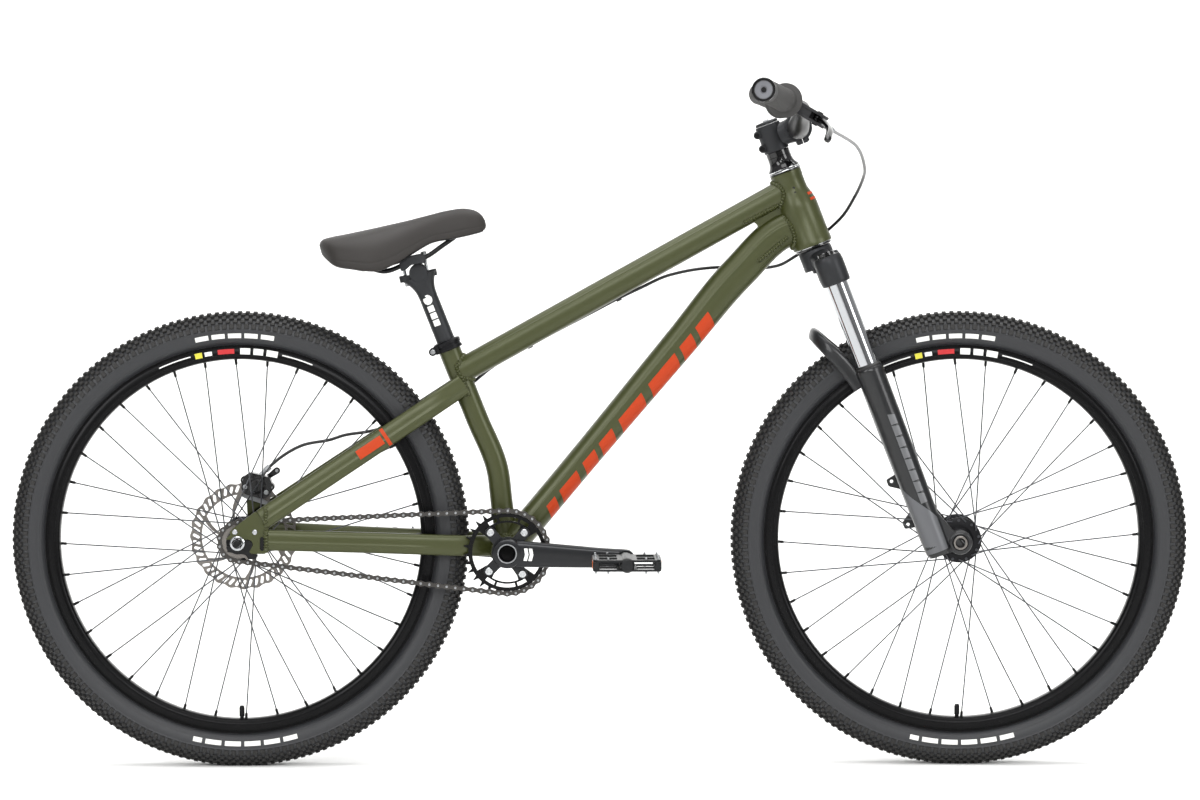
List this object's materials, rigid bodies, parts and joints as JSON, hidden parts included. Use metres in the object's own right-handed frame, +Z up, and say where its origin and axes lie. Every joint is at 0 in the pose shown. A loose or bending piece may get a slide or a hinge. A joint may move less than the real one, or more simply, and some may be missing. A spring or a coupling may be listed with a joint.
{
  "type": "dirt jump bike",
  "caption": "Dirt jump bicycle with a rigid olive frame, short-travel fork, single gear, platform pedals, low saddle and cable disc brake at the rear.",
  "frame": {"origin": "on the ground, midway between the two axles, in the bike's middle plane", "axes": "+X forward, +Y to the rider's left, +Z up; the steering rests turned 3 degrees to the right"},
  "size_m": [1.7211, 0.7393, 1.0122],
  "materials": {
    "olive_paint": "satin olive green paint",
    "black_metal": "satin black anodised aluminium",
    "gloss_black": "gloss black anodised aluminium",
    "chrome": "polished chrome",
    "steel": "satin steel",
    "rubber": "matte grey-black rubber",
    "tyre": "matte black tyre rubber",
    "plastic": "matte black moulded plastic",
    "saddle_skin": "black leatherette",
    "spokes": "black oxide steel",
    "dark_casting": "dark grey cast alloy"
  },
  "bodies": {
    "frame": {"head_tube": "olive_paint", "top_tube": "olive_paint", "down_tube": "olive_paint", "seat_tube": "olive_paint", "bottom_bracket_shell": "olive_paint", "chainstay_right": "olive_paint", "chainstay_left": "olive_paint", "seatstay_right": "olive_paint", "seatstay_left": "olive_paint", "dropout_right": "olive_paint", "dropout_left": "olive_paint", "headset_upper_cup": "gloss_black", "headset_lower_cup": "gloss_black", "seat_clamp": "black_metal", "rear_axle": "steel", "axle_nut_right": "chrome", "axle_nut_left": "chrome", "chain": "steel", "brake_caliper": "dark_casting", "brake_cable": "rubber", "bottom_bracket_unit": "black_metal"},
    "seatpost": {"seatpost": "black_metal"},
    "saddle": {"saddle_clamp": "black_metal", "saddle_rails": "steel", "saddle_base": "plastic", "saddle_cover": "saddle_skin"},
    "steering": {"fork_crown": "black_metal", "stanchion_right": "chrome", "stanchion_left": "chrome", "headset_spacers": "gloss_black", "stem": "black_metal", "stem_faceplate": "black_metal", "top_cap": "black_metal", "handlebar": "black_metal", "grip_right": "rubber", "grip_left": "rubber", "brake_lever_mount": "black_metal"},
    "brake_lever": {"brake_lever": "black_metal"},
    "caliper_arm": {"caliper_arm": "dark_casting"},
    "fork_lowers": {"fork_lowers": "black_metal", "front_axle": "black_metal"},
    "front_wheel": {"front_tyre": "tyre", "front_tube": "rubber", "front_rim": "black_metal", "front_hub": "black_metal", "front_spokes_right": "spokes", "front_spokes_left": "spokes"},
    "rear_wheel": {"rear_tyre": "tyre", "rear_tube": "rubber", "rear_rim": "black_metal", "rear_hub": "black_metal", "rear_spokes_right": "spokes", "rear_spokes_left": "spokes", "brake_rotor": "steel"},
    "rear_cog": {"rear_cog": "steel"},
    "cranks": {"crank_arm_right": "black_metal", "crank_arm_left": "black_metal", "chainring": "black_metal"},
    "pedal_right": {"pedal_right": "dark_casting"},
    "pedal_left": {"pedal_left": "dark_casting"}
  },
  "joints": [
    {"name": "steering", "type": "hinge", "parent": "frame", "child": "steering", "pos_m": [0.3124, 0, 0.7642], "axis": [-0.3584, 0, 0.9336], "range_deg": [-77, 83], "deforming": ["brake_cable"]},
    {"name": "fork_travel", "type": "slide", "parent": "steering", "child": "fork_lowers", "axis": [-0.3584, 0, 0.9336], "range_m": [0, 0.1], "stiffness_N_per_m": 6000},
    {"name": "front_wheel_spin", "type": "hinge", "parent": "fork_lowers", "child": "front_wheel", "pos_m": [0.52694, -0.00241, 0.33348], "axis": [0.0489, 0.9986, 0.0188], "continuous": true},
    {"name": "rear_wheel_spin", "type": "hinge", "parent": "frame", "child": "rear_wheel", "pos_m": [-0.527, 0, 0.3335], "axis": [0, 1, 0], "continuous": true},
    {"name": "crank_spin", "type": "hinge", "parent": "frame", "child": "cranks", "pos_m": [-0.136, 0, 0.3176], "axis": [0, 1, 0], "continuous": true},
    {"name": "rear_cog_spin", "type": "hinge", "parent": "frame", "child": "rear_cog", "pos_m": [-0.527, -0.047, 0.3335], "axis": [0, 1, 0], "continuous": true},
    {"name": "pedal_right_spin", "type": "hinge", "parent": "cranks", "child": "pedal_right", "pos_m": [0.03584, -0.139, 0.3101], "axis": [0, 1, 0], "continuous": true},
    {"name": "pedal_left_spin", "type": "hinge", "parent": "cranks", "child": "pedal_left", "pos_m": [-0.30784, 0.139, 0.3251], "axis": [0, 1, 0], "continuous": true},
    {"name": "brake_lever_pull", "type": "hinge", "parent": "steering", "child": "brake_lever", "pos_m": [0.30404, -0.20302, 0.9456], "axis": [-0.499, 0.0407, -0.8656], "range_deg": [0, 22], "stiffness_Nm_per_rad": 0.5, "springref_deg": -5.73},
    {"name": "caliper_arm_pull", "type": "hinge", "parent": "frame", "child": "caliper_arm", "pos_m": [-0.50681, 0.078, 0.40884], "axis": [0, -1, 0], "range_deg": [0, 15]},
    {"name": "seatpost_height", "type": "slide", "parent": "frame", "child": "seatpost", "axis": [-0.3697, 0, 0.9291], "range_m": [0, 0.07]},
    {"name": "saddle_tilt", "type": "hinge", "parent": "seatpost", "child": "saddle", "pos_m": [-0.26553, 0, 0.72415], "axis": [0, 1, 0], "range_deg": [-8, 8]}
  ],
  "couplings": [
    {"joint": "rear_cog_spin", "follows": "crank_spin", "ratio": 2.1429},
    {"joint": "caliper_arm_pull", "follows": "brake_lever_pull", "ratio": 0.65}
  ]
}
